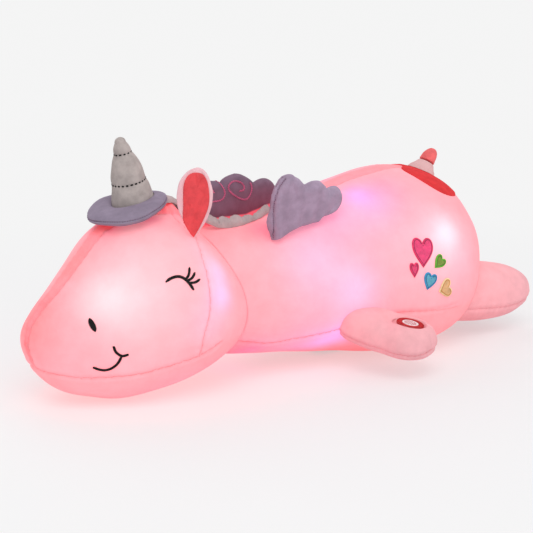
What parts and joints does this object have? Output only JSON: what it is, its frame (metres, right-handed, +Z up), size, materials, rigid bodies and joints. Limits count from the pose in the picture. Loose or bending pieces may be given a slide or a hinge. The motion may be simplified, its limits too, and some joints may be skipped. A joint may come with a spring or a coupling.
{
  "type": "plush night light",
  "caption": "Lying plush unicorn night light with a stuffed horn, cloud mane and wings, a press pad on its front paw and a zipped belly pouch for its batteries.",
  "frame": {"origin": "under the middle of the toy, on the surface that it lies on", "axes": "+Z up, -X towards the nose, +X towards the hind feet, -Y to the toy's own left side"},
  "size_m": [0.515, 0.2656, 0.2129],
  "materials": {
    "pink_plush": "short velboa pile, lit pink from inside",
    "pale_plush": "short velboa pile",
    "coral_plush": "short velboa pile",
    "lavender_plush": "short velboa pile",
    "grey_plush": "short velboa pile",
    "magenta_thread": "satin embroidery",
    "green_thread": "satin embroidery",
    "blue_thread": "satin embroidery",
    "yellow_thread": "satin embroidery",
    "black_thread": "satin embroidery of the face and dashed stitches",
    "pink_thread": "chain stitch on the mane",
    "red_thread": "satin edge round the press pad",
    "white_cloth": "woven badge cloth",
    "white_plastic": "moulded, satin",
    "dark_plastic": "printed cell sleeve, plain",
    "green_board": "solder mask",
    "steel": "nickel plated"
  },
  "bodies": {
    "body": {"torso": "pink_plush", "head": "pink_plush", "front_leg_left": "pink_plush", "front_leg_right": "pink_plush", "hind_leg_left": "pink_plush", "hind_leg_right": "pink_plush", "horn": "grey_plush", "horn_brim": "lavender_plush", "mane": "lavender_plush", "ruffle_left": "grey_plush", "ruffle_right": "grey_plush", "rump_patch": "coral_plush", "heart_large_pink": "magenta_thread", "heart_small_pink": "magenta_thread", "heart_green": "green_thread", "heart_blue": "blue_thread", "heart_yellow": "yellow_thread", "battery_case": "white_plastic", "cell_1": "dark_plastic", "cell_2": "dark_plastic", "cell_3": "dark_plastic", "contact_plate_front": "steel", "contact_plate_rear": "steel", "contact_spring_1": "steel", "contact_spring_2": "steel", "contact_spring_3": "steel", "control_board": "green_board", "zip_row_left": "grey_plush", "zip_row_right": "grey_plush", "switch_housing": "white_plastic", "switch_spring": "steel", "lamp_string_head": "white_plastic", "lamp_string_rump": "white_plastic", "switch_lead": "white_plastic"},
    "ear_l": {"ear_left": "pale_plush", "ear_lining_left": "coral_plush"},
    "ear_r": {"ear_right": "pale_plush", "ear_lining_right": "coral_plush"},
    "wing_l": {"wing_left": "lavender_plush"},
    "wing_r": {"wing_right": "lavender_plush"},
    "tail_body": {"tail": "pale_plush", "tail_tip": "coral_plush"},
    "press": {"press_pad": "white_cloth", "switch_plunger": "white_plastic"},
    "slider": {"zip_slider": "steel"},
    "door": {"battery_door": "white_plastic"}
  },
  "joints": [
    {"name": "ear_left_flop", "type": "hinge", "parent": "body", "child": "ear_l", "pos_m": [-0.12655, -0.04386, 0.13399], "axis": [-0.6546, 0.7531, 0.0659], "range_deg": [-25, 25], "stiffness_Nm_per_rad": 0.08},
    {"name": "ear_right_flop", "type": "hinge", "parent": "body", "child": "ear_r", "pos_m": [-0.12655, 0.04386, 0.13399], "axis": [0.6393, 0.7354, -0.2248], "range_deg": [-25, 25], "stiffness_Nm_per_rad": 0.08},
    {"name": "wing_left_flap", "type": "hinge", "parent": "body", "child": "wing_l", "pos_m": [-0.04603, -0.0428, 0.1201], "axis": [1, 0, 0], "range_deg": [-18, 52], "stiffness_Nm_per_rad": 0.3},
    {"name": "wing_right_flap", "type": "hinge", "parent": "body", "child": "wing_r", "pos_m": [-0.04603, 0.0428, 0.1201], "axis": [-1, 0, 0], "range_deg": [-62, 8], "stiffness_Nm_per_rad": 0.3},
    {"name": "tail_wag", "type": "hinge", "parent": "body", "child": "tail_body", "pos_m": [0.15792, 0, 0.16431], "axis": [0.8027, 0, -0.5965], "range_deg": [-20, 20], "stiffness_Nm_per_rad": 0.05},
    {"name": "pad_press", "type": "slide", "parent": "body", "child": "press", "axis": [-0.0929, 0.1682, -0.9814], "range_m": [0, 0.0015], "stiffness_N_per_m": 1200, "springref_m": -0.001, "deforming": ["switch_spring"]},
    {"name": "zip_run", "type": "slide", "parent": "body", "child": "slider", "axis": [1, 0, 0], "range_m": [0, 0.1118]},
    {"name": "door_slide", "type": "slide", "parent": "body", "child": "door", "axis": [1, 0, 0], "range_m": [0, 0.052]}
  ]
}
